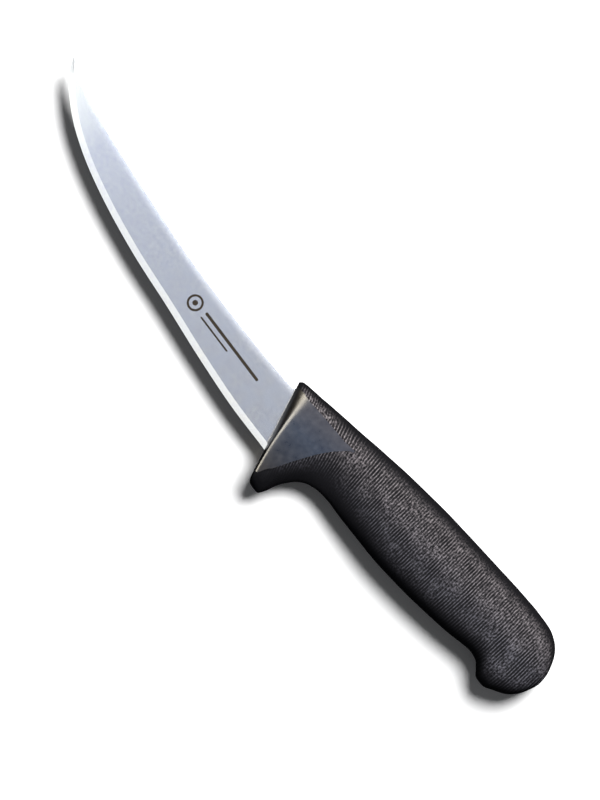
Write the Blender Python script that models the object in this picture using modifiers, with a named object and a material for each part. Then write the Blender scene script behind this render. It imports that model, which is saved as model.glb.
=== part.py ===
"""Boning knife: a stamped blade with a hidden tang, a rigid moulded core round the tang, and a ribbed grip.

The knife lies on its side. While it is modelled, +X runs from the tip to the butt, +Y to the spine and +Z out
of the left flank, with z = 0 on the blade's middle plane. All the sizes below are in millimetres.
The whole knife hangs on one empty, which moves the origin to the bottom centre of the knife's box.
"""
import math
from collections import namedtuple

import bmesh
import bpy
from mathutils import Matrix, Vector

MM = 0.001
GAP = 0.3                     # clearance between pieces that touch

# Blade
BLADE_THICKNESS = 2.0
EDGE_THICKNESS = 0.16
BEVEL_WIDTH = 2.3             # width of the ground band along the cutting edge
EASED_WIDTH = 3.6             # the flanks ease off towards the spine over this width
EASED_THICKNESS = 1.69
TAPER_LENGTH = 55.0           # the last stretch, where the blade gets thinner towards the tip
TIP_THICKNESS = 1.3
BLADE_STEPS = 4               # mesh stations from one blade section to the next
TANG_BACK = 96.0              # how far back the tang reaches
TANG_HOLES = ((31.0, 5.2), (55.0, 4.4), (79.0, 3.6))
TANG_HOLE_RADIUS = 2.6

# Grip and core
LAND_HALF_THICKNESS = 7.0     # the flat smooth sides just behind the blade
PALM_HALF_THICKNESS = 9.6
LAND_TOP_AHEAD = 14.5         # heights of the core block's borders at CLEAR_OF_FRONT
LAND_FOOT_AHEAD = -19.2
SLEEVE_WALL = 2.3             # core plastic round the tang
GRIP_STEPS = 2                # mesh stations from one grip section to the next
BELLY_STEPS = 7               # mesh steps round the belly, over the flat side and round the spine
FLAT_STEPS = 6
SPINE_STEPS = 5
HOLE_SIDES = 24
CLEAR_OF_FRONT = -14.0        # a place in front of the handle where its cutters end

BladeSection = namedtuple("BladeSection", "spine_x spine_y edge_x edge_y")
BLADE_SECTIONS = [
    BladeSection(6.0, 12.6, 6.0, -10.7),          # shoulder inside the core
    BladeSection(-5.6, 12.9, 0.4, -9.7),          # just in front of the handle
    BladeSection(-20.0, 14.2, -15.5, -7.3),
    BladeSection(-40.0, 16.8, -36.0, -2.9),
    BladeSection(-60.0, 20.0, -57.0, 2.35),
    BladeSection(-80.0, 24.2, -78.0, 7.35),
    BladeSection(-100.0, 28.8, -98.5, 13.6),
    BladeSection(-115.0, 32.5, -114.0, 19.75),
    BladeSection(-126.5, 36.0, -126.0, 26.3),
    BladeSection(-134.5, 39.2, -134.0, 32.6),
    BladeSection(-139.0, 41.4, -138.8, 37.6),
    BladeSection(-141.7, 42.9, -141.7, 42.9),     # tip
]

# A grip section runs from its belly point to its spine point. belly_round and spine_round say how wide its
# rounded edges are, and crown how much its side bulges between them. brow is how much of a crease the belly's
# rounding keeps where it meets the side, and bow how far the section's middle stands towards the tip.
GripSection = namedtuple(
    "GripSection", "belly_x belly_y spine_x spine_y half_thickness belly_round spine_round crown brow bow")
GRIP_SECTIONS = [
    GripSection(128.25, -0.8, 128.25, -0.8, 0.0, 0.0, 0.0, 0.0, 0.0, 0.0),  # butt
    GripSection(128.1, -2.9, 128.1, 1.3, 1.9, 2.1, 1.9, 0.0, 0.0, 0.0),
    GripSection(125.75, -8.8, 126.0, 7.3, 6.2, 6.4, 6.0, 0.0, 0.0, 0.0),
    GripSection(122.5, -12.6, 122.5, 11.7, 8.2, 8.0, 7.0, 0.1, 0.0, 0.0),
    GripSection(118.1, -14.9, 117.4, 14.4, 9.0, 8.6, 7.0, 0.2, 0.0, 0.0),
    GripSection(114.2, -16.4, 112.5, 15.35, 9.1, 9.2, 7.0, 0.3, 0.0, 0.0),  # hook
    GripSection(110.8, -15.9, 108.5, 15.95, 9.1, 9.2, 7.0, 0.4, 0.0, 0.0),
    GripSection(108.4, -13.6, 105.5, 16.2, 9.1, 8.6, 7.0, 0.4, 0.0, 0.0),
    GripSection(106.0, -11.5, 102.8, 16.45, 9.1, 8.2, 7.0, 0.4, 0.0, 0.0),
    GripSection(101.5, -10.6, 99.0, 16.75, 9.2, 8.2, 7.0, 0.5, 0.0, 0.0),
    GripSection(90.0, -11.6, 88.5, 17.35, 9.4, 9.0, 7.0, 0.6, 0.0, 0.0),
    GripSection(75.0, -11.9, 74.5, 18.15, PALM_HALF_THICKNESS, 9.0, 7.0, 0.6, 0.0, 0.0),
    GripSection(60.0, -11.4, 60.0, 18.75, PALM_HALF_THICKNESS, 9.4, 7.0, 0.6, 0.0, 0.0),
    GripSection(46.0, -9.8, 46.0, 18.8, 9.1, 11.0, 6.9, 0.5, 0.0, 0.0),
    GripSection(36.5, -8.5, 36.0, 18.5, 8.2, 14.0, 6.9, 0.3, 0.0, 0.0),
    GripSection(30.5, -7.5, 29.5, 18.25, 7.5, 16.6, 6.9, 0.1, 0.03, 0.0),  # finger recess
    GripSection(26.3, -7.3, 24.6, 17.95, LAND_HALF_THICKNESS, 18.2, 6.3, 0.0, 0.12, 0.0),
    GripSection(22.0, -8.0, 20.0, 17.75, LAND_HALF_THICKNESS, 15.5, 6.2, 0.0, 0.25, 0.0),
    GripSection(18.5, -9.9, 15.5, 17.6, LAND_HALF_THICKNESS, 12.8, 5.6, 0.0, 0.32, 0.0),
    GripSection(15.7, -13.1, 11.0, 17.4, LAND_HALF_THICKNESS, 11.0, 5.0, 0.0, 0.32, 0.0),
    GripSection(13.7, -16.4, 7.0, 17.2, LAND_HALF_THICKNESS, 10.1, 4.5, 0.0, 0.32, 0.1),
    GripSection(12.2, -20.4, 4.2, 17.0, LAND_HALF_THICKNESS, 10.5, 4.1, 0.0, 0.30, 0.3),
    GripSection(10.4, -22.6, 2.6, 16.95, LAND_HALF_THICKNESS, 9.8, 3.9, 0.0, 0.25, 0.7),  # guard
    GripSection(7.1, -22.1, 1.6, 16.95, 6.9, 5.0, 3.7, 0.0, 0.12, 1.8),  # front of the flats
    GripSection(6.2, -21.6, 0.1, 16.85, 6.65, 4.6, 3.4, 0.0, 0.0, 1.5),
    GripSection(5.6, -20.8, -1.8, 16.8, 6.1, 4.0, 3.0, 0.0, 0.0, 0.9),
    GripSection(5.3, -20.2, -4.3, 16.5, 4.75, 3.5, 2.5, 0.0, 0.0, 0.25),
    GripSection(5.0, -19.6, -5.55, 15.55, 3.2, 3.0, 2.0, 0.0, 0.0, 0.0),  # front line round the blade
]
LAND_FIRST = 16               # the grip sections between which the sides are flat
LAND_LAST = 23

# The tang's outline behind the shoulder, from its lower corner round its back to its upper corner
TANG_FOOT = [(7.6, -1.6), (22.0, -1.0)]
TANG_HEEL = (TANG_BACK - 5.0, -1.0)
TANG_NECK = (TANG_BACK - 5.0, 7.4)

PLASTIC_CORE = (0.030, 0.032, 0.040, 1.0)
PLASTIC_GRIP = (0.022, 0.021, 0.024, 1.0)
STEEL = (0.56, 0.57, 0.62, 1.0)


def smooth(rows, steps):
    """Rows of numbers made finer by cubic steps through them that never overshoot."""
    def slope(before, here, after):
        step_in, step_out = here - before, after - here
        if step_in * step_out <= 0.0:
            return 0.0
        return 2.0 * step_in * step_out / (step_in + step_out)

    finer = []
    for index in range(len(rows) - 1):
        before, here = rows[max(index - 1, 0)], rows[index]
        after, last = rows[index + 1], rows[min(index + 2, len(rows) - 1)]
        for step in range(steps):
            t = step / steps
            row = []
            for a, b, c, d in zip(before, here, after, last):
                leave = slope(a, b, c) if index > 0 else c - b
                arrive = slope(b, c, d) if index < len(rows) - 2 else c - b
                row.append(b * (1 + 2 * t) * (1 - t) ** 2 + leave * t * (1 - t) ** 2
                           + c * t * t * (3 - 2 * t) - arrive * t * t * (1 - t))
            finer.append(row)
    finer.append(list(rows[-1]))
    return finer


def arc(start, end, bulge, steps):
    """Points along a round end from start to end, as half an ellipse that stands out by bulge."""
    start, end = Vector(start), Vector(end)
    middle, half = (start + end) / 2, (end - start) / 2
    outward = Vector((-half.y, half.x)).normalized() * -bulge
    angles = [math.pi * step / steps for step in range(steps + 1)]
    return [tuple(middle - half * math.cos(angle) + outward * math.sin(angle)) for angle in angles]


def offset(points, distance):
    """A closed outline moved outward by distance, with its corners kept."""
    area = sum(a[0] * b[1] - b[0] * a[1] for a, b in zip(points, points[1:] + points[:1]))
    outward = math.copysign(distance, area)
    moved = []
    for index, point in enumerate(points):
        here = Vector(point)
        arriving = (here - Vector(points[index - 1])).normalized()
        leaving = (Vector(points[(index + 1) % len(points)]) - here).normalized()
        side_in = Vector((arriving.y, -arriving.x))
        side_out = Vector((leaving.y, -leaving.x))
        corner = (side_in + side_out) / (1.0 + side_in.dot(side_out))
        moved.append(tuple(here + corner * outward))
    return moved


def clear_scene():
    for obj in list(bpy.data.objects):
        bpy.data.objects.remove(obj)


def new_collection(name):
    collection = bpy.data.collections.new(name)
    bpy.context.scene.collection.children.link(collection)
    return collection


def plain_material(name, colour, roughness, metallic):
    material = bpy.data.materials.new(name)
    material.use_nodes = True
    shader = material.node_tree.nodes["Principled BSDF"]
    shader.inputs["Base Color"].default_value = colour
    shader.inputs["Roughness"].default_value = roughness
    shader.inputs["Metallic"].default_value = metallic
    return material


def add_object(name, mesh, collection, material=None):
    obj = bpy.data.objects.new(name, mesh)
    collection.objects.link(obj)
    if material:
        mesh.materials.clear()
        mesh.materials.append(material)
    else:
        obj.hide_render = True
        obj.display_type = "WIRE"
    return obj


def mirror_across_flanks(obj):
    mirror = obj.modifiers.new("other_flank", "MIRROR")
    mirror.use_axis = (False, False, True)
    mirror.merge_threshold = 0.01 * MM


def boolean(obj, other, operation):
    cut = obj.modifiers.new(other.name, "BOOLEAN")
    cut.operation = operation
    cut.object = other


def shade(obj, degrees):
    obj.data.shade_smooth()
    obj.data.set_sharp_from_angle(angle=math.radians(degrees))


def flat_solid(name, points, half_thickness, collection):
    """A flat plate of the given outline, made as a filled 2D curve and turned into a closed mesh."""
    curve = bpy.data.curves.new(name + "_outline", "CURVE")
    curve.dimensions = "2D"
    curve.fill_mode = "BOTH"
    curve.extrude = half_thickness * MM
    spline = curve.splines.new("POLY")
    spline.points.add(len(points) - 1)
    for target, point in zip(spline.points, points):
        target.co = (point[0] * MM, point[1] * MM, 0.0, 1.0)
    spline.use_cyclic_u = True
    outline = bpy.data.objects.new(name + "_outline", curve)
    collection.objects.link(outline)
    evaluated = outline.evaluated_get(bpy.context.evaluated_depsgraph_get())
    mesh = bpy.data.meshes.new_from_object(evaluated)
    mesh.name = name
    solid = bmesh.new()
    solid.from_mesh(mesh)
    bmesh.ops.remove_doubles(solid, verts=solid.verts, dist=0.001 * MM)
    bmesh.ops.recalc_face_normals(solid, faces=solid.faces)
    solid.to_mesh(mesh)
    solid.free()
    bpy.data.objects.remove(outline)
    return add_object(name, mesh, collection)


def pins(name, places, radius, half_length, collection):
    """Upright round pins in one mesh."""
    solid = bmesh.new()
    for x, y in places:
        bmesh.ops.create_cone(
            solid, cap_ends=True, segments=HOLE_SIDES, radius1=radius * MM, radius2=radius * MM,
            depth=2 * half_length * MM, matrix=Matrix.Translation((x * MM, y * MM, 0.0)))
    mesh = bpy.data.meshes.new(name)
    solid.to_mesh(mesh)
    solid.free()
    return add_object(name, mesh, collection)


# ---------------------------------------------------------------- blade

def tang_outline():
    """The tang behind the shoulder, from the edge side round its back to the spine side."""
    shoulder = BLADE_SECTIONS[0]
    back = arc(TANG_HEEL, TANG_NECK, TANG_BACK - TANG_HEEL[0], 8)
    return ([(shoulder.edge_x, shoulder.edge_y)] + TANG_FOOT + back
            + [(shoulder.spine_x, shoulder.spine_y)])


def blade_row(spine, edge, along, ramp, to_tip):
    """Points over the upper half of the blade at one station, from its spine to its edge.

    ramp is 0 at the shoulder, where the blade is a plain plate, and 1 where its grinding is complete.
    """
    taper = max(1.0 - to_tip / TAPER_LENGTH, 0.0) ** 2
    half = (BLADE_THICKNESS + (TIP_THICKNESS - BLADE_THICKNESS) * taper) / 2
    thin = EDGE_THICKNESS / 2
    if to_tip == 0.0:
        half = thin
    width = (spine - edge).length
    inward = Vector((along.y, -along.x)).normalized()
    shoulder = edge + inward * min(BEVEL_WIDTH * ramp, 0.42 * width)
    inner = spine + (edge - spine).normalized() * min(EASED_WIDTH, 0.3 * width) * ramp
    eased = half * (1.0 + (EASED_THICKNESS / BLADE_THICKNESS - 1.0) * ramp)
    return [(*spine, 0.0), (*spine, max(eased, thin)), (*inner, half), (*shoulder, half),
            (*edge, half + (thin - half) * ramp), (*edge, 0.0)]


def blade_half_mesh():
    """The half of the blade above its middle plane, open along that plane."""
    stations = smooth(BLADE_SECTIONS, BLADE_STEPS)
    last = len(stations) - 1
    spine = [Vector(row[:2]) for row in stations]
    edge = [Vector(row[2:]) for row in stations]
    rows = []
    for index in range(last + 1):
        along = edge[min(index + 1, last)] - edge[max(index - 1, 0)]
        to_tip = ((spine[index] + edge[index]) / 2 - spine[last]).length
        rows.append(blade_row(spine[index], edge[index], along, min(index / BLADE_STEPS, 1.0), to_tip))
    solid = bmesh.new()
    grid = [[solid.verts.new(Vector(point) * MM) for point in row] for row in rows]
    for here, after in zip(grid, grid[1:]):
        for column in range(len(here) - 1):
            solid.faces.new((here[column], here[column + 1], after[column + 1], after[column]))
    tang = tang_outline()
    top = [solid.verts.new((x * MM, y * MM, BLADE_THICKNESS / 2 * MM)) for x, y in tang]
    foot = [solid.verts.new((x * MM, y * MM, 0.0)) for x, y in tang]
    solid.faces.new(top)
    for index in range(len(tang) - 1):
        solid.faces.new((top[index], foot[index], foot[index + 1], top[index + 1]))
    bmesh.ops.remove_doubles(solid, verts=solid.verts, dist=0.001 * MM)
    bmesh.ops.recalc_face_normals(solid, faces=solid.faces)
    mesh = bpy.data.meshes.new("blade")
    solid.to_mesh(mesh)
    solid.free()
    return mesh


def make_blade(parts, cutters):
    blade = add_object("blade", blade_half_mesh(), parts, plain_material("steel", STEEL, 0.32, 1.0))
    mirror_across_flanks(blade)
    holes = pins("tang_holes", TANG_HOLES, TANG_HOLE_RADIUS, 2 * BLADE_THICKNESS, cutters)
    boolean(blade, holes, "DIFFERENCE")
    shade(blade, 20)
    return blade


# ---------------------------------------------------------------- handle

def section_points(section):
    """Half of a grip section, from its belly over the upper side to its spine."""
    belly, spine = Vector((section.belly_x, section.belly_y)), Vector((section.spine_x, section.spine_y))
    length = (spine - belly).length
    across = (spine - belly) / length
    ahead = Vector((-across.y, across.x))
    points = []
    for step in range(BELLY_STEPS):
        angle = math.pi / 2 * step / BELLY_STEPS
        rise = 1 - math.cos(angle)
        height = (1 - section.brow) * math.sin(angle) + section.brow * rise
        points.append((section.belly_round * rise, section.half_thickness * height))
    flat = length - section.belly_round - section.spine_round
    for step in range(FLAT_STEPS + 1):
        share = step / FLAT_STEPS
        bulge = section.crown * math.sin(math.pi * share) ** 2
        points.append((section.belly_round + flat * share, section.half_thickness + bulge))
    for step in range(1, SPINE_STEPS + 1):
        angle = math.pi / 2 * (1 - step / SPINE_STEPS)
        points.append((length - section.spine_round * (1 - math.cos(angle)),
                       section.half_thickness * math.sin(angle)))
    plan = []
    for distance, height in points:
        share = distance / length
        bowed = belly + across * distance + ahead * section.bow * 4 * share * (1 - share)
        plan.append((*bowed, height))
    return plan


def handle_half_mesh():
    """The half of the handle's whole outer form above the blade's middle plane, open along that plane."""
    stations = [GripSection(*row) for row in smooth(GRIP_SECTIONS, GRIP_STEPS)]
    solid = bmesh.new()
    butt = solid.verts.new((stations[0].belly_x * MM, stations[0].belly_y * MM, 0.0))
    rings = [[solid.verts.new(Vector(point) * MM) for point in section_points(station)]
             for station in stations[1:]]
    for index in range(len(rings[0]) - 1):
        solid.faces.new((butt, rings[0][index], rings[0][index + 1]))
    for here, after in zip(rings, rings[1:]):
        for index in range(len(here) - 1):
            solid.faces.new((here[index], after[index], after[index + 1], here[index + 1]))
    solid.faces.new(rings[-1])
    bmesh.ops.recalc_face_normals(solid, faces=solid.faces)
    mesh = bpy.data.meshes.new("handle_form")
    solid.to_mesh(mesh)
    solid.free()
    return mesh


def land_outline():
    """The smooth flat side in plan: forward along its curved lower border, then back along its upper one."""
    border = []
    for section in GRIP_SECTIONS[LAND_FIRST:LAND_LAST + 1]:
        belly = Vector((section.belly_x, section.belly_y))
        across = (Vector((section.spine_x, section.spine_y)) - belly).normalized()
        border.append(tuple(belly + across * section.belly_round))
    return border + [(CLEAR_OF_FRONT, LAND_FOOT_AHEAD), (CLEAR_OF_FRONT, LAND_TOP_AHEAD)]


def sleeve_outline():
    """The core's plastic round the tang, in plan, running forward into the block under the flat sides."""
    foot, heel, neck = TANG_FOOT[-1], TANG_HEEL, TANG_NECK
    back = arc(heel, neck, TANG_BACK - heel[0], 8)
    shoulder = BLADE_SECTIONS[0]
    return offset([(shoulder.spine_x + SLEEVE_WALL, foot[1]), foot] + back
                  + [(shoulder.spine_x + SLEEVE_WALL, shoulder.spine_y - 1.0)], SLEEVE_WALL)


def pocket_outline():
    """The slot and pocket for the blade's hidden end, in plan, running out of the front of the handle."""
    tang = offset(tang_outline(), GAP)
    front = BLADE_SECTIONS[1]
    return tang + [(CLEAR_OF_FRONT, front.spine_y + 2 * GAP), (CLEAR_OF_FRONT, front.edge_y - GAP)]


def make_core(form, parts, cutters):
    core = add_object("handle_core", form, parts, plain_material("core", PLASTIC_CORE, 0.42, 0.0))
    mirror_across_flanks(core)
    half_sleeve = BLADE_THICKNESS / 2 + SLEEVE_WALL
    boolean(core, flat_solid("land_block", land_outline(), 2 * PALM_HALF_THICKNESS, cutters), "INTERSECT")
    boolean(core, flat_solid("sleeve", sleeve_outline(), half_sleeve, cutters), "UNION")
    pocket = flat_solid("tang_pocket", pocket_outline(), BLADE_THICKNESS / 2 + GAP, cutters)
    pegs = pins("pegs", TANG_HOLES, TANG_HOLE_RADIUS - GAP, half_sleeve / 2, cutters)
    boolean(pocket, pegs, "DIFFERENCE")
    boolean(core, pocket, "DIFFERENCE")
    shade(core, 35)
    return core


def make_grip(form, parts, cutters):
    grip = add_object("handle_grip", form, parts, plain_material("grip", PLASTIC_GRIP, 0.62, 0.0))
    mirror_across_flanks(grip)
    half_sleeve = BLADE_THICKNESS / 2 + SLEEVE_WALL + GAP
    window = flat_solid("land_window", offset(land_outline(), GAP), 2 * PALM_HALF_THICKNESS, cutters)
    boolean(grip, window, "DIFFERENCE")
    tunnel = flat_solid("sleeve_tunnel", offset(sleeve_outline(), GAP), half_sleeve, cutters)
    boolean(grip, tunnel, "DIFFERENCE")
    shade(grip, 35)
    return grip


def box_bottom_centre():
    """The point under the middle of the whole knife, where its origin goes."""
    tip, butt = BLADE_SECTIONS[-1], GRIP_SECTIONS[0]
    lowest = min(section.belly_y for section in GRIP_SECTIONS)
    thickest = max(section.half_thickness + section.crown for section in GRIP_SECTIONS)
    return Vector(((tip.spine_x + butt.belly_x) / 2, (lowest + tip.spine_y) / 2, -thickest))


def main():
    clear_scene()
    parts = new_collection("boning_knife")
    cutters = new_collection("cutters")
    datum = bpy.data.objects.new("knife_datum", None)
    parts.objects.link(datum)
    make_blade(parts, cutters)
    make_core(handle_half_mesh(), parts, cutters)
    make_grip(handle_half_mesh(), parts, cutters)
    for obj in list(parts.objects) + list(cutters.objects):
        if obj is not datum:
            obj.parent = datum
    datum.location = -box_bottom_centre() * MM


main()
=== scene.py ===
"""Looks of the boning knife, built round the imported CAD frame."""

import math

import bmesh
import bpy
import numpy as np
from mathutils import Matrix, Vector, noise


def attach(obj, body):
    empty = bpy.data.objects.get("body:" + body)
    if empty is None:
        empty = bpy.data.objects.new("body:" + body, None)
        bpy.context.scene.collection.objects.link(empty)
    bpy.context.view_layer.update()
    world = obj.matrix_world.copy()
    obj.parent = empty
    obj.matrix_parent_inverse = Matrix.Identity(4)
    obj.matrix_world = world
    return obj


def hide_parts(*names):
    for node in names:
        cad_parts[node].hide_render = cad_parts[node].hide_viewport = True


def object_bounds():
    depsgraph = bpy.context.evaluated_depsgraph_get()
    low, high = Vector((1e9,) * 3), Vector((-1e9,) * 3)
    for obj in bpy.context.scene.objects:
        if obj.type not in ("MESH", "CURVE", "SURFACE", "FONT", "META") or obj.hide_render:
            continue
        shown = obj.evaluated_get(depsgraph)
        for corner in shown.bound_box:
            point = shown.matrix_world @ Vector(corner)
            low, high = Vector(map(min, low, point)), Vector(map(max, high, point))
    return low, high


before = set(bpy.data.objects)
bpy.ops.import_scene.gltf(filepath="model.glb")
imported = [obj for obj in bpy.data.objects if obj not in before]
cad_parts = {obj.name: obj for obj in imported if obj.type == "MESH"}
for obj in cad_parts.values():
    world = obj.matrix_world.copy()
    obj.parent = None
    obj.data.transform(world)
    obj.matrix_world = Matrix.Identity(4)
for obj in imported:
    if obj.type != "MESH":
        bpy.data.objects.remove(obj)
cad_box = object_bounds()

# The knife is modelled in millimetres: +X from the tip to the butt, +Y to the spine, z = 0 on the blade's
# middle plane. The frame's origin is under the middle of the knife's box.
MM = 0.001
FINE_STEPS = 2000                     # for measuring along a shape's middle line
CAMERA_TURN = math.radians(44.0)      # the photo's right, as an angle from the knife's length

# Sections of the blade, from inside the handle to the tip: spine x, y and edge x, y
BLADE_SECTIONS = [
    (6.0, 12.6, 6.0, -10.7),
    (-5.6, 12.9, 0.4, -9.7),
    (-20.0, 14.2, -15.5, -7.3),
    (-40.0, 16.8, -36.0, -2.9),
    (-60.0, 20.0, -57.0, 2.35),
    (-80.0, 24.2, -78.0, 7.35),
    (-100.0, 28.8, -98.5, 13.6),
    (-115.0, 32.5, -114.0, 19.75),
    (-126.5, 36.0, -126.0, 26.3),
    (-134.5, 39.2, -134.0, 32.6),
    (-139.0, 41.4, -138.8, 37.6),
    (-141.7, 42.9, -141.7, 42.9),
]
BLADE_HALF = 1.0
EDGE_HALF = 0.08
BEVEL_WIDTH, BEVEL_SHARE = 2.3, 0.42  # the ground band's width, and its limit as a share of the blade's
BEVEL_SLOPE = 0.40
BEVEL_BULGE = 0.10
EASED_WIDTH, EASED_SHARE = 3.6, 0.30  # the same for the eased band along the spine
EASED_HEIGHT = 0.845                  # at the spine, as a share of the blade's half thickness
SPINE_CORNER = 0.28
TAPER_LENGTH = 55.0
TIP_SHARE = 0.65                      # the thickness left at the tip, as a share
SLOT_GAP = 0.15
SLOT_REACH = 4.0                      # how far the slot's cutter stands out in front of the heel

# Sections of the handle, from the butt to the front: belly x, y; spine x, y; half thickness; widths of the
# belly's and the spine's rounding; crown; brow, which is how much of a crease the belly's rounding keeps
# where it meets the flat side; bow towards the tip
GRIP_SECTIONS = [
    (128.25, -0.8, 128.25, -0.8, 0.0, 0.0, 0.0, 0.0, 0.0, 0.0),
    (128.1, -2.9, 128.1, 1.3, 1.9, 2.1, 1.9, 0.0, 0.0, 0.0),
    (125.75, -8.8, 126.0, 7.3, 6.2, 6.4, 6.0, 0.0, 0.0, 0.0),
    (122.5, -12.6, 122.5, 11.7, 8.2, 8.0, 7.0, 0.1, 0.0, 0.0),
    (118.1, -14.9, 117.4, 14.4, 9.0, 8.6, 7.0, 0.2, 0.0, 0.0),
    (114.2, -16.4, 112.5, 15.35, 9.1, 9.2, 7.0, 0.3, 0.0, 0.0),
    (110.8, -15.9, 108.5, 15.95, 9.1, 9.2, 7.0, 0.4, 0.0, 0.0),
    (108.4, -13.6, 105.5, 16.2, 9.1, 8.6, 7.0, 0.4, 0.0, 0.0),
    (106.0, -11.5, 102.8, 16.45, 9.1, 8.2, 7.0, 0.4, 0.0, 0.0),
    (101.5, -10.6, 99.0, 16.75, 9.2, 8.2, 7.0, 0.5, 0.0, 0.0),
    (90.0, -11.6, 88.5, 17.35, 9.4, 9.0, 7.0, 0.6, 0.0, 0.0),
    (75.0, -11.9, 74.5, 18.15, 9.6, 9.0, 7.0, 0.6, 0.0, 0.0),
    (60.0, -11.4, 60.0, 18.75, 9.6, 9.4, 7.0, 0.6, 0.0, 0.0),
    (46.0, -9.8, 46.0, 18.8, 9.1, 11.0, 6.9, 0.5, 0.0, 0.0),
    (36.5, -8.5, 36.0, 18.5, 8.2, 14.0, 6.9, 0.3, 0.0, 0.0),
    (30.5, -7.5, 29.5, 18.25, 7.5, 16.6, 6.9, 0.1, 0.03, 0.0),
    (26.3, -7.3, 24.6, 17.95, 7.0, 18.2, 6.3, 0.0, 0.12, 0.0),
    (22.0, -8.0, 20.0, 17.75, 7.0, 15.5, 6.2, 0.0, 0.25, 0.0),
    (18.5, -9.9, 15.5, 17.6, 7.0, 12.8, 5.6, 0.0, 0.32, 0.0),
    (15.7, -13.1, 11.0, 17.4, 7.0, 11.0, 5.0, 0.0, 0.32, 0.0),
    (13.7, -16.4, 7.0, 17.2, 7.0, 10.1, 4.5, 0.0, 0.32, 0.1),
    (12.2, -20.4, 4.2, 17.0, 7.0, 10.5, 4.1, 0.0, 0.30, 0.3),
    (10.4, -22.6, 2.6, 16.95, 6.98, 9.8, 3.9, 0.0, 0.25, 0.7),
    (7.1, -22.1, 1.6, 16.95, 6.87, 5.0, 3.7, 0.0, 0.12, 1.8),
    (6.2, -21.6, 0.1, 16.85, 6.65, 4.6, 3.4, 0.0, 0.0, 1.5),
    (5.6, -20.8, -1.8, 16.8, 6.1, 4.0, 3.0, 0.0, 0.0, 0.9),
    (5.3, -20.2, -4.3, 16.5, 4.75, 3.5, 2.5, 0.0, 0.0, 0.25),
    (5.0, -19.6, -5.55, 15.55, 3.2, 3.0, 2.0, 0.0, 0.0, 0.0),
]
FLAT_FROM, FLAT_TO = 16, 23           # the sections between which the smooth flat side lies
FRONT = len(GRIP_SECTIONS) - 1

# Mesh steps along the blade: within the handle and beyond it
ALONG_NECK, ALONG_BLADE = 5, 240
# Mesh steps across a flank: the spine's corner, the eased band, the flat and the ground band
ACROSS_CORNER, ACROSS_EASE, ACROSS_FLANK, ACROSS_BEVEL = 4, 10, 8, 4
# Mesh steps along the handle, in its three stretches, and round half of a section
ALONG_GRIP, ALONG_FLAT, ALONG_FRONT = 496, 124, 28
ROUND_BELLY, ACROSS_FLAT, ROUND_SPINE = 28, 28, 18
HALF_RING = ROUND_BELLY + ACROSS_FLAT + ROUND_SPINE
RING = 2 * HALF_RING
BROW, TOP = ROUND_BELLY, ROUND_BELLY + ACROSS_FLAT
BROW_UNDER, TOP_UNDER = RING - BROW, RING - TOP
FLAT_START = ALONG_GRIP - 1
FRONT_START = FLAT_START + ALONG_FLAT
LAST = FRONT_START + ALONG_FRONT

RIB_PITCH = 1.0
RIB_DEPTH = 0.24
RIB_SHARPNESS = 0.8
# How far the ribs lean, in millimetres along the handle for each across it, at places along the handle
LEAN_AT = [8.0, 13.0, 18.0, 22.0, 26.0, 31.0, 40.0, 48.0]
LEANS = [0.40, 0.36, 0.27, 0.21, 0.13, 0.06, 0.0, -0.035]
LEAN_MIDDLE = 3.0                     # the y where a rib keeps its place however far it leans
# Where the ribs fade in, in millimetres: away from the brow, away from the flat's spine side, behind the flat
BROW_FADE, TOP_FADE, BEHIND_FADE = (-0.5, 0.5), (0.0, 1.2), (0.0, 2.0)
# The same round the front slope's start, in rows of the mesh, and off the outline, as a share of the height
FRONT_FADE, HEIGHT_FADE = (-4.0, 4.0), (0.0, 0.45)
# Each way that the ribs wander: the share of the pitch, the noise's swing in millimetres, and its seed
LONG_WANDER, SHORT_WANDER, PATCH_WANDER = (0.14, 3.6, 1), (0.06, 1.3, 2), (0.60, 1.2, 4)
# Swing and seed of the patches where the ribs blur, of the mottle in them, and of the crests' height
PATCHES, MOTTLE, CREST_HEIGHT = (5.0, 3), (0.8, 5), (1.1, 6)
PATCH_MIDDLE, PATCH_CONTRAST, SPINE_PATCHES = 0.36, 1.1, 0.9
CREST_MIDDLE, CREST_CONTRAST, BLURRED_GAIN = 0.8, 0.4, 1.1
# Painted highlight on the ribs' crests: the least, for painted shade, at the outline, and the most on the
# guard and in front of the palm
OUTLINE_PAINTED_LIGHT, GUARD_PAINTED_LIGHT, FORE_PAINTED_LIGHT = 0.03, 0.95, 0.82
PAINTED_LIGHT_FALLOFF = 2.4


def box_shift():
    """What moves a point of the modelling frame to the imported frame, in millimetres.

    The box's low corner is at the tip in x, at the guard's foot in y and under the palm's crown in z."""
    low = Vector(cad_box[0]) / MM
    lowest = min(section[1] for section in GRIP_SECTIONS)
    thickest = max(section[4] + section[7] for section in GRIP_SECTIONS)
    return np.array([low.x - BLADE_SECTIONS[-1][0], low.y - lowest, low.z + thickest])


SHIFT = box_shift()


def smooth(rows, places):
    """Rows of numbers at fractional places, by cubic steps that never overshoot."""
    rows = np.array(rows, float)
    steps = np.diff(rows, axis=0)
    product = steps[:-1] * steps[1:]
    total = steps[:-1] + steps[1:]
    slopes = np.vstack([steps[:1], np.zeros_like(product), steps[-1:]])
    slopes[1:-1] = np.where(product > 0.0, 2.0 * product / np.where(total == 0.0, 1.0, total), 0.0)
    index = np.clip(places.astype(int), 0, len(rows) - 2)
    t = (places - index)[:, None]
    return (rows[index] * (1 + 2 * t) * (1 - t) ** 2 + slopes[index] * t * (1 - t) ** 2
            + rows[index + 1] * t * t * (3 - 2 * t) - slopes[index + 1] * t * t * (1 - t))


def fade(value, start, end, low=0.0):
    """0, or low, up to the start of a range, 1 from its end, and even between them."""
    return np.clip((value - start) / (end - start), low, 1.0)


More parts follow.
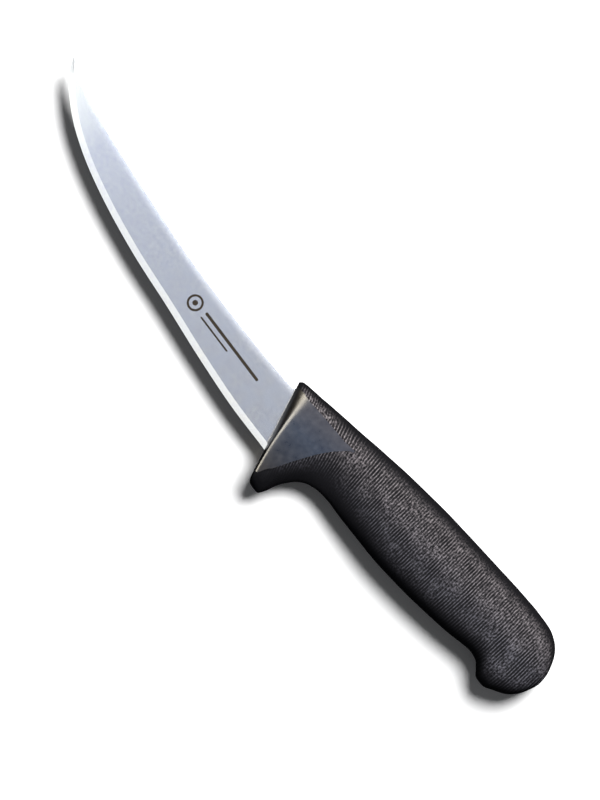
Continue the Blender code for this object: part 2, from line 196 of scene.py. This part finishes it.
def even_places(rows, first, last, count):
    """Places from one section to another that lie at even steps along the shape's middle line."""
    fine = np.linspace(first, last, FINE_STEPS)
    values = smooth(rows, fine)
    middle = (values[:, :2] + values[:, 2:4]) / 2
    run = np.concatenate([[0.0], np.cumsum(np.linalg.norm(np.diff(middle, axis=0), axis=1))])
    return np.interp(np.linspace(0.0, run[-1], count + 1), run, fine)


def noise_at(points, scale, seed):
    """Smooth noise from -1 to 1 at each point, one swing in about scale millimetres."""
    offset = seed * np.array([17.3, 5.1, 11.7])
    values = [noise.noise(point) for point in points.reshape(-1, 3) / scale + offset]
    return np.array(values).reshape(points.shape[:-1])


def new_mesh(name, points, faces):
    mesh = bpy.data.meshes.new(name)
    mesh.from_pydata((np.asarray(points) + SHIFT) * MM, [], faces)
    obj = bpy.data.objects.new(name, mesh)
    bpy.context.scene.collection.objects.link(obj)
    return obj


def tidy_solid(obj, sharp_degrees, merge=0.0):
    """Drops unused points, merges those nearer than merge millimetres, turns the faces outward and shades the
    piece smooth but for its sharp edges."""
    solid = bmesh.new()
    solid.from_mesh(obj.data)
    bmesh.ops.delete(solid, geom=[vert for vert in solid.verts if not vert.link_faces], context="VERTS")
    if merge:
        bmesh.ops.remove_doubles(solid, verts=solid.verts, dist=merge * MM)
    bmesh.ops.recalc_face_normals(solid, faces=solid.faces)
    open_edges = sum(1 for edge in solid.edges if len(edge.link_faces) != 2)
    solid.to_mesh(obj.data)
    solid.free()
    if open_edges:
        print(obj.name, "has", open_edges, "open edges")
    obj.data.shade_smooth()
    obj.data.set_sharp_from_angle(angle=math.radians(sharp_degrees))
    return obj


# ---------------------------------------------------------------- the handle's outer form

def ring_points(sections):
    """Points round each section: over the upper side from belly to spine, and back under the lower side."""
    belly, spine = sections[:, 0:2], sections[:, 2:4]
    thick, belly_round, spine_round, crown, brow, bow = (sections[:, k:k + 1] for k in range(4, 10))
    length = np.maximum(np.linalg.norm(spine - belly, axis=1, keepdims=True), 1e-6)
    across = (spine - belly) / length
    ahead = np.stack([-across[:, 1], across[:, 0]], axis=1)
    angle = np.linspace(0.0, math.pi / 2, ROUND_BELLY + 1)[None, :-1]
    rise = 1 - np.cos(angle)
    far = [belly_round * rise]
    high = [thick * ((1 - brow) * np.sin(angle) + brow * rise)]
    share = np.linspace(0.0, 1.0, ACROSS_FLAT + 1)[None, :]
    far.append(belly_round + (length - belly_round - spine_round) * share)
    high.append(thick + crown * np.sin(math.pi * share) ** 2)
    angle = np.linspace(math.pi / 2, 0.0, ROUND_SPINE + 1)[None, 1:]
    far.append(length - spine_round * (1 - np.cos(angle)))
    high.append(thick * np.sin(angle))
    far, high = np.hstack(far), np.hstack(high)
    bowed = bow * 4 * (far / length) * (1 - far / length)
    plan = (belly[:, None, :] + across[:, None, :] * far[:, :, None]
            + ahead[:, None, :] * bowed[:, :, None])
    upper = np.concatenate([plan, high[:, :, None]], axis=2)
    lower = upper[:, -2:0:-1] * np.array([1.0, 1.0, -1.0])
    return np.concatenate([upper, lower], axis=1)


def handle_form():
    """The handle's smooth form, as rings of points from the butt to the front line."""
    places = np.concatenate([
        even_places(GRIP_SECTIONS, 0.0, FLAT_FROM, ALONG_GRIP)[1:],
        even_places(GRIP_SECTIONS, FLAT_FROM, FLAT_TO, ALONG_FLAT)[1:],
        np.linspace(FLAT_TO, FRONT, ALONG_FRONT + 1)[1:],
    ])
    return ring_points(smooth(GRIP_SECTIONS, places))


def inward_normals(grid):
    along = np.gradient(grid, axis=0)
    around = np.roll(grid, -1, axis=1) - np.roll(grid, 1, axis=1)
    normal = np.cross(along, around)
    return normal / np.maximum(np.linalg.norm(normal, axis=2, keepdims=True), 1e-9)


def fold_of(column):
    """The step round a section from its belly, the same on the upper and the lower side."""
    return np.minimum(column, RING - column)


def height_share(form):
    """How high each point stands off the middle plane, as a share of its section's greatest height."""
    height = np.abs(form[:, :, 2])
    return height / height.max(axis=1, keepdims=True)


def rib_strength(form):
    """How strong the ribs are: 0 on the flats, the front slope and the outline, and 1 a little way off."""
    row = np.arange(len(form))[:, None]
    fold = fold_of(np.arange(RING))[None, :]
    plan = form[:, :, :2]
    from_brow = np.linalg.norm(plan - plan[:, BROW:BROW + 1], axis=2)
    from_top = np.linalg.norm(plan - plan[:, TOP:TOP + 1], axis=2)
    behind = fade(form[:, BROW:BROW + 1, 0] - form[FLAT_START, BROW, 0], *BEHIND_FADE)
    beside = np.where(fold < BROW, fade(from_brow, *BROW_FADE), fade(from_top, *TOP_FADE))
    beside = np.where((fold >= BROW) & (fold <= TOP), 0.0, beside)
    front = fade(FRONT_START - row, *FRONT_FADE)
    return np.maximum(beside, behind) * front * fade(height_share(form), *HEIGHT_FADE)


def wandering(points, share, swing, seed):
    """How far the ribs wander at each point, as a share of their pitch."""
    return share * noise_at(points, swing, seed)


def rib_pattern(form):
    """The ribs' phase, whole at the bottom of each groove, and the patches where they wander and blur."""
    x, y = form[..., 0], form[..., 1]
    fold = fold_of(np.arange(RING))[None, :]
    spine_side = fade(fold, TOP, TOP + 6.0) * fade(x, 30.0, 50.0, low=0.25)
    patches = np.clip(PATCH_MIDDLE + PATCH_CONTRAST * noise_at(form, *PATCHES), 0.0, 1.0)
    patches = np.maximum(patches, SPINE_PATCHES * spine_side)
    drawn_out = form * np.array([1.0, 0.4, 0.4])
    wander = wandering(drawn_out, *LONG_WANDER) + wandering(drawn_out, *SHORT_WANDER)
    wander += patches * wandering(form, *PATCH_WANDER)
    lean = np.interp(x, LEAN_AT, LEANS)
    return (x + lean * (y - LEAN_MIDDLE)) / RIB_PITCH + wander, patches


def rib_relief(form, phase, patches):
    """Depth of the moulded surface below the form, from 0 on a crest to 1 at the bottom of a groove."""
    rib = np.abs(np.sin(math.pi * phase)) ** RIB_SHARPNESS
    drawn_out = form * np.array([1.0, 0.22, 0.22])
    height = CREST_MIDDLE + CREST_CONTRAST * noise_at(drawn_out, *CREST_HEIGHT)
    mottle = np.clip(0.5 + noise_at(form, *MOTTLE), 0.0, 1.0)
    blurred = BLURRED_GAIN * (rib + mottle) / 2.0
    crest = height * ((1.0 - patches) * rib + patches * blurred)
    return np.clip(1.0 - crest, 0.0, 1.0)


def painted_light_mask(form):
    """How pale the ribs' crests are painted as highlights: most on the broad sides towards the butt, less
    near the guard, and hardly at all, for painted shade, at the guard's foot, along the front and round the
    outline."""
    x, y = form[..., 0], form[..., 1]
    broad = OUTLINE_PAINTED_LIGHT + (1.0 - OUTLINE_PAINTED_LIGHT) * fade(height_share(form), 0.50, 1.0) ** PAINTED_LIGHT_FALLOFF
    behind = fade(x, 18.0, 34.0)
    guard = GUARD_PAINTED_LIGHT * fade(y, -14.0, -4.0, low=0.05)
    front = fade(x + 0.3 * y, 0.4, 2.9)
    towards_butt = FORE_PAINTED_LIGHT + (1.0 - FORE_PAINTED_LIGHT) * fade(x, 40.0, 100.0)
    return broad * (behind + (1.0 - behind) * guard) * front * towards_butt


# ---------------------------------------------------------------- pieces cut from the form

def at(row, column):
    """The number of a point of the ring grid."""
    return row * RING + column % RING


def grid_faces(rows, keep):
    """Quads of the ring grid that keep(row, column) says stay."""
    return [(at(row, column), at(row, column + 1), at(row + 1, column + 1), at(row + 1, column))
            for row in range(rows) for column in range(RING) if keep(row, column)]


def in_flat(row, column):
    """True for the grid's quads on the smooth flats and on the front ahead of them."""
    return row >= FLAT_START and (BROW <= column < TOP or TOP_UNDER <= column < BROW_UNDER)


def through_walls():
    """Walls through the handle's thickness along the border between the core and the grip."""
    walls = []
    for row in range(FLAT_START, LAST):
        walls.append((at(row, BROW), at(row, BROW_UNDER), at(row + 1, BROW_UNDER), at(row + 1, BROW)))
        walls.append((at(row, TOP_UNDER), at(row, TOP), at(row + 1, TOP), at(row + 1, TOP_UNDER)))
    for step in range(ACROSS_FLAT):
        walls.append((at(FLAT_START, BROW + step), at(FLAT_START, BROW + step + 1),
                      at(FLAT_START, BROW_UNDER - step - 1), at(FLAT_START, BROW_UNDER - step)))
    return walls


def make_grip(form):
    """The ribbed grip, with what its material reads kept at each point."""
    phase, patches = rib_pattern(form)
    depth = rib_relief(form, phase, patches) * rib_strength(form) * RIB_DEPTH
    ribbed = form + inward_normals(form) * depth[..., None]
    points = np.vstack([ribbed.reshape(-1, 3), [[*GRIP_SECTIONS[0][:2], 0.0]]])
    butt = len(points) - 1
    faces = grid_faces(LAST, lambda row, column: not in_flat(row, column))
    faces += [(butt, at(0, column + 1), at(0, column)) for column in range(RING)]
    faces += through_walls()
    faces.append(tuple(at(LAST, column) for column in range(BROW_UNDER, RING + BROW + 1)))
    faces.append(tuple(at(LAST, column) for column in range(TOP, TOP_UNDER + 1)))
    grip = new_mesh("ribbed_grip", points, faces)
    # painted_light holds the painted highlight on the crests and its fall-off into painted shade round the
    # outline
    for name, values in (("phase", phase), ("patches", patches), ("painted_light", painted_light_mask(form))):
        attribute = grip.data.attributes.new(name, "FLOAT", "POINT")
        attribute.data.foreach_set("value", np.append(values.reshape(-1), values[0].mean()))
    return tidy_solid(grip, sharp_degrees=50)


def slot_cutter():
    """A plate a little larger than the blade's hidden end, for the slot that it sits in."""
    heel, neck = BLADE_SECTIONS[1], BLADE_SECTIONS[0]
    front, back = heel[0] - SLOT_REACH, neck[0] + SLOT_GAP
    outline = [(front, heel[1] + SLOT_GAP), (back, neck[1] + 2 * SLOT_GAP),
               (back, neck[3] - SLOT_GAP), (front, heel[3] - SLOT_GAP)]
    half = BLADE_HALF + SLOT_GAP
    points = [(x, y, z) for z in (-half, half) for x, y in outline]
    faces = [(0, 1, 2, 3), (4, 5, 6, 7)] + [(k, (k + 1) % 4, 4 + (k + 1) % 4, 4 + k) for k in range(4)]
    return tidy_solid(new_mesh("slot_cutter", points, faces), sharp_degrees=30)


def make_core(form):
    """The smooth core, with a slot cut in its front for the blade."""
    faces = grid_faces(LAST, in_flat) + through_walls()
    faces.append(tuple(at(LAST, column) for column in range(BROW, TOP + 1))
                 + tuple(at(LAST, column) for column in range(TOP_UNDER, BROW_UNDER + 1)))
    core = tidy_solid(new_mesh("core_flats", form.reshape(-1, 3), faces), sharp_degrees=40)
    cutter = slot_cutter()
    cut = core.modifiers.new("slot", "BOOLEAN")
    cut.operation = "DIFFERENCE"
    cut.object = cutter
    whole = core.evaluated_get(bpy.context.evaluated_depsgraph_get())
    slotted = bpy.data.meshes.new_from_object(whole)
    core.modifiers.clear()
    core.data = slotted
    bpy.data.objects.remove(cutter)
    return tidy_solid(core, sharp_degrees=40)


# ---------------------------------------------------------------- blade

def make_blade():
    """The blade: an eased band along the spine, flat flanks, and the ground band along the edge."""
    places = np.concatenate([np.linspace(0.0, 1.0, ALONG_NECK + 1)[:-1],
                             even_places(BLADE_SECTIONS, 1.0, len(BLADE_SECTIONS) - 1.0, ALONG_BLADE)])
    rows = smooth(BLADE_SECTIONS, places)
    spine, edge = rows[:, :2], rows[:, 2:]
    width = np.linalg.norm(spine - edge, axis=1, keepdims=True)
    across = (spine - edge) / np.maximum(width, 1e-6)
    along = np.gradient(edge, axis=0)
    inward = np.stack([along[:, 1], -along[:, 0]], axis=1)
    inward /= np.linalg.norm(inward, axis=1, keepdims=True)
    bevel = np.minimum(BEVEL_WIDTH * np.clip(places, 0.0, 1.0)[:, None], BEVEL_SHARE * width)
    ease = np.minimum(EASED_WIDTH, EASED_SHARE * width)
    to_tip = np.linalg.norm((spine + edge) / 2 - spine[-1], axis=1)[:, None]
    half = BLADE_HALF * (1.0 - (1.0 - TIP_SHARE) * np.clip(1 - to_tip / TAPER_LENGTH, 0, 1) ** 2)
    half = np.minimum(half, EDGE_HALF + BEVEL_SLOPE * bevel)
    shoulder, inner = edge + inward * bevel, spine - across * ease
    corner = SPINE_CORNER * ease / EASED_WIDTH
    outer = spine - across * corner
    plan, high = [spine], [np.zeros_like(half)]
    for angle in np.linspace(0.0, math.pi / 2, ACROSS_CORNER + 1)[1:]:
        plan.append(spine - across * corner * (1 - math.cos(angle)))
        high.append(half * EASED_HEIGHT - corner * (1 - math.sin(angle)))
    for t in np.linspace(0.0, 1.0, ACROSS_EASE + 1)[1:]:
        plan.append(outer * (1 - t) + inner * t)
        high.append(half * (1.0 - (1.0 - EASED_HEIGHT) * (1 - t) ** 2))
    for t in np.linspace(0.0, 1.0, ACROSS_FLANK + 1)[1:]:
        plan.append(inner * (1 - t) + shoulder * t)
        high.append(half)
    for t in np.linspace(0.0, 1.0, ACROSS_BEVEL + 1)[1:]:
        plan.append(shoulder * (1 - t) + edge * t)
        high.append(half * (1.0 + (EDGE_HALF - 1.0) * (t + BEVEL_BULGE * t * (1 - t))))
    plan.append(edge)
    high.append(np.zeros_like(half))
    upper = np.concatenate([np.stack(plan, axis=1), np.stack(high, axis=1)], axis=2)
    upper[-1, :, 2] = 0.0             # the tip is one point
    lower = upper[:, -2:0:-1] * np.array([1.0, 1.0, -1.0])
    grid = np.concatenate([upper, lower], axis=1)
    ring = grid.shape[1]
    faces = [tuple(range(ring))]
    for row in range(len(grid) - 1):
        for column in range(ring):
            after = (column + 1) % ring
            faces.append((row * ring + column, row * ring + after,
                          (row + 1) * ring + after, (row + 1) * ring + column))
    return tidy_solid(new_mesh("satin_blade", grid.reshape(-1, 3), faces), sharp_degrees=12, merge=0.0005)


# A plain mark on the left flank: a ring round a dot, then a long thick bar above a short thin one
MARK_START, MARK_END = (-51.0, 10.2), (-17.0, 4.9)
MARK_HEIGHTS = (BLADE_HALF - 0.05, BLADE_HALF + 0.012)
MARK_RING_RADII, MARK_DOT_RADIUS = (3.0, 2.2), 1.0
# Where each bar starts and ends along the mark, how far it lies to the spine side, and half its width. None
# stands for the mark's end.
LONG_BAR, SHORT_BAR = (5.6, None, 0.9, 0.55), (5.4, 20.0, -1.4, 0.32)


def ring_outline(middle, radius, sides=40):
    angles = [math.tau * k / sides for k in range(sides)]
    return [(middle[0] + radius * math.cos(angle), middle[1] + radius * math.sin(angle)) for angle in angles]


def bar_outline(start, end, half_width, sides=8):
    """A bar with round ends, in plan."""
    start, end = Vector(start), Vector(end)
    along = (end - start).normalized()
    turn = math.atan2(along.y, along.x)
    outline = []
    for middle, first in ((end, turn - math.pi / 2), (start, turn + math.pi / 2)):
        for k in range(sides + 1):
            angle = first + math.pi * k / sides
            outline.append((middle.x + half_width * math.cos(angle), middle.y + half_width * math.sin(angle)))
    return outline


def make_mark():
    """The etched mark, as thin plates that stand a hair over the flank."""
    points, faces = [], []

    def plate(outline):
        start, count = len(points), len(outline)
        points.extend((x, y, z) for z in MARK_HEIGHTS for x, y in outline)
        faces.append(tuple(range(start + count - 1, start - 1, -1)))
        faces.append(tuple(range(start + count, start + 2 * count)))
        for k in range(count):
            after = (k + 1) % count
            faces.append((start + k, start + after, start + count + after, start + count + k))

    def hoop(outer, inner):
        start, count = len(points), len(outer)
        for z in MARK_HEIGHTS:
            points.extend((x, y, z) for x, y in outer)
            points.extend((x, y, z) for x, y in inner)
        for k in range(count):
            after = (k + 1) % count
            for a, b in ((0, 1), (1, 3), (3, 2), (2, 0)):
                faces.append((start + a * count + k, start + a * count + after,
                              start + b * count + after, start + b * count + k))

    start, end = Vector(MARK_START), Vector(MARK_END)
    along = (end - start).normalized()
    side = Vector((-along.y, along.x))
    hoop(*(ring_outline(start, radius) for radius in MARK_RING_RADII))
    plate(ring_outline(start, MARK_DOT_RADIUS, sides=24))
    for first, last, aside, half_width in (LONG_BAR, SHORT_BAR):
        finish = end if last is None else start + along * last
        plate(bar_outline(start + along * first + side * aside, finish + side * aside, half_width))
    return tidy_solid(new_mesh("etched_mark", points, faces), sharp_degrees=30)


# ---------------------------------------------------------------- materials

def shader_material(name, colour, roughness, metallic=0.0, specular=0.5):
    """A material, its node tree and its shader. A later link takes the place of a value set here."""
    material = bpy.data.materials.new(name)
    material.use_nodes = True
    shader = material.node_tree.nodes["Principled BSDF"]
    shader.inputs["Base Color"].default_value = (*colour, 1.0)
    shader.inputs["Roughness"].default_value = roughness
    shader.inputs["Metallic"].default_value = metallic
    shader.inputs["Specular IOR Level"].default_value = specular
    return material, material.node_tree, shader


def add_node(tree, kind, inputs=None, **settings):
    """A node with its settings, and with its inputs set to a value or linked to a socket."""
    node = tree.nodes.new(kind)
    for key, value in settings.items():
        setattr(node, key, value)
    for key, value in (inputs or {}).items():
        if isinstance(value, bpy.types.NodeSocket):
            tree.links.new(value, node.inputs[key])
        else:
            node.inputs[key].default_value = value
    return node


def object_position(tree, scale=(1.0, 1.0, 1.0)):
    coordinates = add_node(tree, "ShaderNodeTexCoord")
    mapping = add_node(tree, "ShaderNodeMapping", {"Vector": coordinates.outputs["Object"], "Scale": scale})
    return mapping.outputs["Vector"]


def noise_fac(tree, scale, detail, stretch=(1.0, 1.0, 1.0)):
    """A noise whose scale is in swings to a metre."""
    node = add_node(tree, "ShaderNodeTexNoise",
                    {"Vector": object_position(tree, stretch), "Scale": scale, "Detail": detail})
    return node.outputs["Fac"]


def spread(tree, value, low, high, start=0.0, end=1.0):
    """A value carried from one range to another, and held at its ends."""
    node = add_node(tree, "ShaderNodeMapRange", {
        "Value": value, "From Min": start, "From Max": end, "To Min": low, "To Max": high})
    return node.outputs["Result"]


def blend(tree, factor, first, second):
    """Two colours mixed by a factor."""
    node = add_node(tree, "ShaderNodeMix", data_type="RGBA", blend_type="MIX")
    sockets = {socket.identifier: socket for socket in node.inputs}
    for key, value in (("Factor_Float", factor), ("A_Color", first), ("B_Color", second)):
        if isinstance(value, bpy.types.NodeSocket):
            tree.links.new(value, sockets[key])
        else:
            sockets[key].default_value = (*value, 1.0) if isinstance(value, tuple) else value
    return next(socket for socket in node.outputs if socket.identifier == "Result_Color")


def math_node(tree, operation, *values):
    return add_node(tree, "ShaderNodeMath", dict(enumerate(values)), operation=operation).outputs["Value"]


def attribute(tree, name):
    """What make_grip keeps at each point under a name."""
    return add_node(tree, "ShaderNodeAttribute", attribute_name=name).outputs["Fac"]


def axis_position(tree, axis):
    """One coordinate of the frame, in metres."""
    parts = add_node(tree, "ShaderNodeSeparateXYZ", {"Vector": object_position(tree)})
    return parts.outputs[axis]


def set_bump(tree, shader, height, strength, distance):
    bump = add_node(tree, "ShaderNodeBump", {"Height": height, "Strength": strength, "Distance": distance})
    tree.links.new(bump.outputs["Normal"], shader.inputs["Normal"])


def between(tree, value, start, end):
    """0 up to the start of a range, 1 from its end, and even between them."""
    return spread(tree, value, 0.0, 1.0, start, end)


def along_x(tree, start, end):
    """The same for a stretch along the knife, given in the modelling frame."""
    return between(tree, axis_position(tree, "X"), (start + SHIFT[0]) * MM, (end + SHIFT[0]) * MM)


def along_y(tree, start, end):
    """The same for a stretch from the edge to the spine."""
    return between(tree, axis_position(tree, "Y"), (start + SHIFT[1]) * MM, (end + SHIFT[1]) * MM)


def make_steel():
    """Satin steel, clouded and finely lined; a painted reflection makes it a little bluer away from the
    handle, and a painted highlight makes it pale and less metallic at the point.
    """
    material, tree, shader = shader_material("satin_steel", (0.56, 0.58, 0.62), 0.24, metallic=1.0)
    cloud = between(tree, noise_fac(tree, scale=700.0, detail=5.0), 0.25, 0.75)
    patch = between(tree, noise_fac(tree, scale=180.0, detail=2.0), 0.34, 0.66)
    lines = noise_fac(tree, scale=1.0, detail=2.0, stretch=(9000.0, 300.0, 300.0))
    satin = blend(tree, cloud, (0.505, 0.515, 0.58), (0.595, 0.61, 0.63))
    satin = blend(tree, patch, satin, (0.545, 0.57, 0.635))
    # painted reflection: bluer steel from the handle towards the point
    outer = blend(tree, cloud, (0.495, 0.52, 0.63), (0.56, 0.595, 0.65))
    colour = blend(tree, along_x(tree, -10.0, -112.0), satin, outer)
    # painted highlight: the steel turns pale towards the point for the glare there
    colour = blend(tree, along_x(tree, -113.0, -132.0), colour, (0.70, 0.73, 0.75))
    tree.links.new(colour, shader.inputs["Base Color"])
    # painted highlight: the point turns less metallic so its pale colour shows from every side
    tree.links.new(spread(tree, along_x(tree, -131.0, -139.0), 1.0, 0.3), shader.inputs["Metallic"])
    tree.links.new(spread(tree, cloud, 0.238, 0.252), shader.inputs["Roughness"])
    set_bump(tree, shader, lines, strength=0.08, distance=0.02 * MM)
    return material


def make_grip_plastic():
    """Black plastic with painted highlights along the ribs' crests, lighter and warmer towards the spine, and
    speckled where they blur.
    """
    material, tree, shader = shader_material("ribbed_plastic", (0.010, 0.010, 0.011), 0.6, specular=0.2)
    crest = between(tree, math_node(tree, "PINGPONG", attribute(tree, "phase"), 0.5), 0.27, 0.44)
    speck = between(tree, noise_fac(tree, scale=1300.0, detail=2.0), 0.38, 0.62)
    blurred = math_node(tree, "MULTIPLY", attribute(tree, "patches"), 0.55)
    clear = math_node(tree, "SUBTRACT", 1.0, blurred)
    crest = math_node(tree, "ADD", math_node(tree, "MULTIPLY", crest, clear),
                      math_node(tree, "MULTIPLY", speck, blurred))
    crest = math_node(tree, "MULTIPLY", crest, spread(tree, speck, 0.40, 1.20))
    # painted highlight on the ribs' crests, held back by the painted_light mask where painted shade stands
    painted_lit_share = math_node(tree, "MULTIPLY", crest, attribute(tree, "painted_light"))
    # the painted highlight's colour: lighter and warmer towards the spine, the side the light falls from
    painted_lit_tone = blend(tree, along_y(tree, -1.0, 13.0), (0.128, 0.126, 0.152), (0.290, 0.260, 0.277))
    tree.links.new(blend(tree, painted_lit_share, (0.0042, 0.0042, 0.0060), painted_lit_tone), shader.inputs["Base Color"])
    tree.links.new(spread(tree, crest, 0.82, 0.50), shader.inputs["Roughness"])
    set_bump(tree, shader, noise_fac(tree, scale=2400.0, detail=3.0), strength=0.5, distance=0.1 * MM)
    return material


def make_core_plastic():
    """The flats are painted pale and bluish as a painted reflection, lighter towards the spine and darker
    towards the foot as painted light and shade, with a random dark mottle; the slopes round them are painted
    black as shade.
    """
    material, tree, shader = shader_material("smooth_plastic", (0.020, 0.022, 0.030), 0.36, specular=0.34)
    cloud = between(tree, noise_fac(tree, scale=450.0, detail=3.0), 0.30, 0.70)
    # painted shade: darker towards the foot of the flats
    low = blend(tree, along_y(tree, -15.0, 3.0), (0.001, 0.001, 0.006), (0.016, 0.028, 0.056))
    # painted light and reflection: paler and bluish towards the spine
    painted_lit_tone = blend(tree, along_y(tree, 3.0, 11.0), low, (0.040, 0.043, 0.062))
    # a random dark mottle over the painted tone
    mottled_painted_tone = blend(tree, spread(tree, cloud, 0.20, 0.0), painted_lit_tone, (0.004, 0.005, 0.008))
    over_middle = math_node(tree, "SUBTRACT", axis_position(tree, "Z"), SHIFT[2] * MM)
    # painted reflection on the flats, painted shade on the slopes round them, which stay black
    flat = between(tree, math_node(tree, "ABSOLUTE", over_middle), 6.2 * MM, 6.9 * MM)
    tree.links.new(blend(tree, flat, (0.003, 0.002, 0.002), mottled_painted_tone), shader.inputs["Base Color"])
    tree.links.new(spread(tree, cloud, 0.27, 0.36), shader.inputs["Roughness"])
    set_bump(tree, shader, noise_fac(tree, scale=1500.0, detail=3.0), strength=0.05, distance=0.03 * MM)
    return material


def make_etching():
    material, tree, shader = shader_material("etching", (0.03, 0.025, 0.02), 0.8, specular=0.2)
    mottle = noise_fac(tree, scale=3000.0, detail=2.0)
    colour = blend(tree, mottle, (0.012, 0.010, 0.008), (0.050, 0.038, 0.026))
    tree.links.new(colour, shader.inputs["Base Color"])
    return material


# ---------------------------------------------------------------- stage

def in_view(right, up):
    """A direction in the frame's axes: so far to the picture's right and up, and 1 straight out of it."""
    return Vector((right * math.cos(CAMERA_TURN) - up * math.sin(CAMERA_TURN),
                   right * math.sin(CAMERA_TURN) + up * math.cos(CAMERA_TURN), 1.0))


def panel(name, direction, distance, size, power, colour, only_on, card=False):
    """A round studio light on some of the objects alone. A card adds gloss and no diffuse light."""
    data = bpy.data.lights.new(name, "AREA")
    data.shape = "DISK"
    data.size = size
    data.energy = power
    data.color = colour
    light = bpy.data.objects.new(name, data)
    light.location = direction.normalized() * distance
    light.rotation_euler = direction.to_track_quat("Z", "Y").to_euler()
    light.visible_camera = False
    light.visible_diffuse = not card
    receivers = bpy.data.collections.new(name + "_receivers")
    for piece in only_on:
        receivers.objects.link(piece)
    light.light_linking.receiver_collection = receivers
    bpy.context.scene.collection.objects.link(light)


def make_world():
    """White for the camera, a glow overhead and hardly any elsewhere for gloss, and a dim even light."""
    world = bpy.data.worlds.new("studio")
    bpy.context.scene.world = world
    world.use_nodes = True
    tree = world.node_tree
    tree.nodes.clear()
    path = add_node(tree, "ShaderNodeLightPath")
    coordinates = add_node(tree, "ShaderNodeTexCoord")
    axes = add_node(tree, "ShaderNodeSeparateXYZ", {"Vector": coordinates.outputs["Generated"]})
    overhead = spread(tree, axes.outputs["Z"], low=0.01, high=0.55, start=0.75, end=0.99)
    sky = add_node(tree, "ShaderNodeBackground", {"Color": (0.84, 0.90, 1.0, 1.0), "Strength": overhead})
    shade = add_node(tree, "ShaderNodeBackground", {"Color": (0.95, 0.97, 1.0, 1.0), "Strength": 0.11})
    backdrop = add_node(tree, "ShaderNodeBackground", {"Color": (0.95, 0.95, 0.95, 1.0), "Strength": 1.0})
    by_diffuse = add_node(tree, "ShaderNodeMixShader", {
        "Fac": path.outputs["Is Diffuse Ray"], 1: sky.outputs[0], 2: shade.outputs[0]})
    by_camera = add_node(tree, "ShaderNodeMixShader", {
        "Fac": path.outputs["Is Camera Ray"], 1: by_diffuse.outputs[0], 2: backdrop.outputs[0]})
    output = add_node(tree, "ShaderNodeOutputWorld")
    tree.links.new(by_camera.outputs[0], output.inputs["Surface"])


def make_floor():
    """A white floor that takes the shadow, and that the knife neither mirrors nor takes light from."""
    mesh = bpy.data.meshes.new("floor")
    reach = 6.0                       # metres
    mesh.from_pydata([(-reach, -reach, 0), (reach, -reach, 0), (reach, reach, 0), (-reach, reach, 0)], [],
                     [(0, 1, 2, 3)])
    floor = bpy.data.objects.new("floor", mesh)
    bpy.context.scene.collection.objects.link(floor)
    mesh.materials.append(shader_material("floor_white", (0.88, 0.88, 0.88), 0.9, specular=0.0)[0])
    floor.visible_glossy = False
    floor.visible_diffuse = False
    return floor


def make_camera():
    """Straight above, turned as the photo is, with 280 mm of the knife's middle plane from top to bottom."""
    lens, sensor, tall = 120.0, 36.0, 280.0 * MM
    middle = (np.array([-1.04, 11.2, 0.0]) + SHIFT) * MM
    data = bpy.data.cameras.new("camera")
    data.lens = lens
    data.sensor_width = sensor
    data.clip_end = 50.0
    camera = bpy.data.objects.new("camera", data)
    camera.location = (middle[0], middle[1], middle[2] + lens / sensor * tall)
    camera.rotation_euler = (0.0, 0.0, CAMERA_TURN)
    bpy.context.scene.collection.objects.link(camera)
    bpy.context.scene.camera = camera


def dress(obj, material, node=None):
    """Gives a piece its material, hides the node of the part that it stands for, and hangs it under the root
    body.
    """
    obj.data.materials.clear()
    obj.data.materials.append(material)
    if node:
        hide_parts(node)
    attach(obj, "root")


bpy.context.scene.view_settings.view_transform = "Standard"
handle = handle_form()
grip, core, blade, mark = make_grip(handle), make_core(handle), make_blade(), make_mark()
dress(grip, make_grip_plastic(), "handle_grip")
dress(core, make_core_plastic(), "handle_core")
dress(blade, make_steel(), "blade")
dress(mark, make_etching())
make_world()
floor = make_floor()
make_camera()

# name, direction, distance and size in metres, power in watts, colour, what it lights
KEYS = [
    ("key", in_view(0.40, 0.50), 1.5, 0.62, 37.0, (1.0, 0.985, 0.96), [grip, core, blade, mark]),
    ("floor_key", in_view(0.49, 0.43), 0.84, 0.44, 16.0, (1.0, 1.0, 1.0), [floor]),
]
CARDS = [
    ("bevel_card", in_view(-0.80, -0.25), 3.0, 2.67, 27.0, (1.0, 0.98, 0.87), [blade]),
    ("point_card", in_view(-0.85, 0.52), 3.0, 1.6, 8.5, (1.0, 1.0, 0.98), [blade]),
    ("tip_card", in_view(-0.28, 0.35), 1.1, 0.42, 0.5, (1.0, 0.99, 0.96), [blade]),
    ("front_card", in_view(-0.64, 0.33), 1.0, 0.64, 28.5, (1.0, 0.92, 0.76), [core]),
]
for eighth in range(8):               # low cards all round, so the blade shines from the sides too
    turn = math.tau * eighth / 8
    CARDS.append(("side_card_%d" % eighth, Vector((math.cos(turn), math.sin(turn), 0.38)), 3.0, 2.6, 9.0,
                  (0.95, 0.97, 1.0), [blade, mark]))
for light in KEYS:
    panel(*light)
for light in CARDS:
    panel(*light, card=True)
